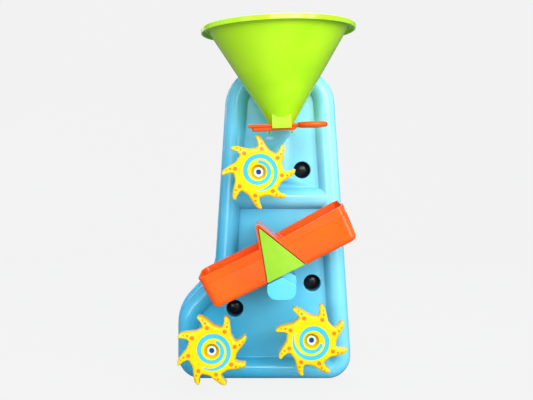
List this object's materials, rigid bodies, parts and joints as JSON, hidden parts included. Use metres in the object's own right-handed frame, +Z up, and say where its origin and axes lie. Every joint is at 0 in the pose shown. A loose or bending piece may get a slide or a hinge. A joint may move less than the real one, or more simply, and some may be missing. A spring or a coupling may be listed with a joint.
{
  "type": "water wheel toy",
  "caption": "Wall-held water toy: a moulded panel on suction cups with a funnel and slide gate, spinning star wheels and a tipping double scoop.",
  "frame": {"origin": "point of the wall behind the pivot of the tipping scoops, on the panel's middle line", "axes": "+X to the right seen from the front, +Y into the wall, +Z up; the front faces -Y"},
  "size_m": [0.2097, 0.1895, 0.4099],
  "materials": {
    "panel_plastic": "glossy moulded light-blue plastic",
    "cup_rubber": "soft black rubber",
    "funnel_plastic": "glossy moulded lime-green plastic",
    "gate_plastic": "glossy moulded orange plastic",
    "wheel_plastic": "glossy moulded yellow plastic with printed spiral and dots",
    "pin_plastic": "glossy pale-blue plastic",
    "scoop_plastic": "glossy moulded orange plastic",
    "cap_plastic": "glossy moulded lime-green plastic"
  },
  "bodies": {
    "panel": {"panel": "panel_plastic", "suction_cup_top": "cup_rubber", "suction_cup_right": "cup_rubber", "suction_cup_left": "cup_rubber", "funnel": "funnel_plastic", "wheel_pin_top": "pin_plastic", "wheel_pin_right": "pin_plastic", "wheel_pin_left": "pin_plastic", "seesaw_axle": "pin_plastic"},
    "gate": {"gate_slide": "gate_plastic"},
    "top_wheel": {"star_wheel_top": "wheel_plastic"},
    "right_wheel": {"star_wheel_right": "wheel_plastic"},
    "left_wheel": {"star_wheel_left": "wheel_plastic"},
    "scoops": {"seesaw_scoops": "scoop_plastic", "seesaw_cap": "cap_plastic"}
  },
  "joints": [
    {"name": "gate_slide", "type": "slide", "parent": "panel", "child": "gate", "axis": [0.9994, 0, 0.0349], "range_m": [0, 0.0232]},
    {"name": "top_wheel_spin", "type": "hinge", "parent": "panel", "child": "top_wheel", "pos_m": [-0.0253, -0.096, 0.0992], "axis": [0, -1, 0], "continuous": true},
    {"name": "right_wheel_spin", "type": "hinge", "parent": "panel", "child": "right_wheel", "pos_m": [0.0333, -0.096, -0.0869], "axis": [0, -1, 0], "continuous": true},
    {"name": "left_wheel_spin", "type": "hinge", "parent": "panel", "child": "left_wheel", "pos_m": [-0.0771, -0.096, -0.0984], "axis": [0, -1, 0], "continuous": true},
    {"name": "scoop_tip", "type": "hinge", "parent": "panel", "child": "scoops", "pos_m": [0, -0.08825, 0], "axis": [0, 1, 0], "range_deg": [0, 52]}
  ]
}
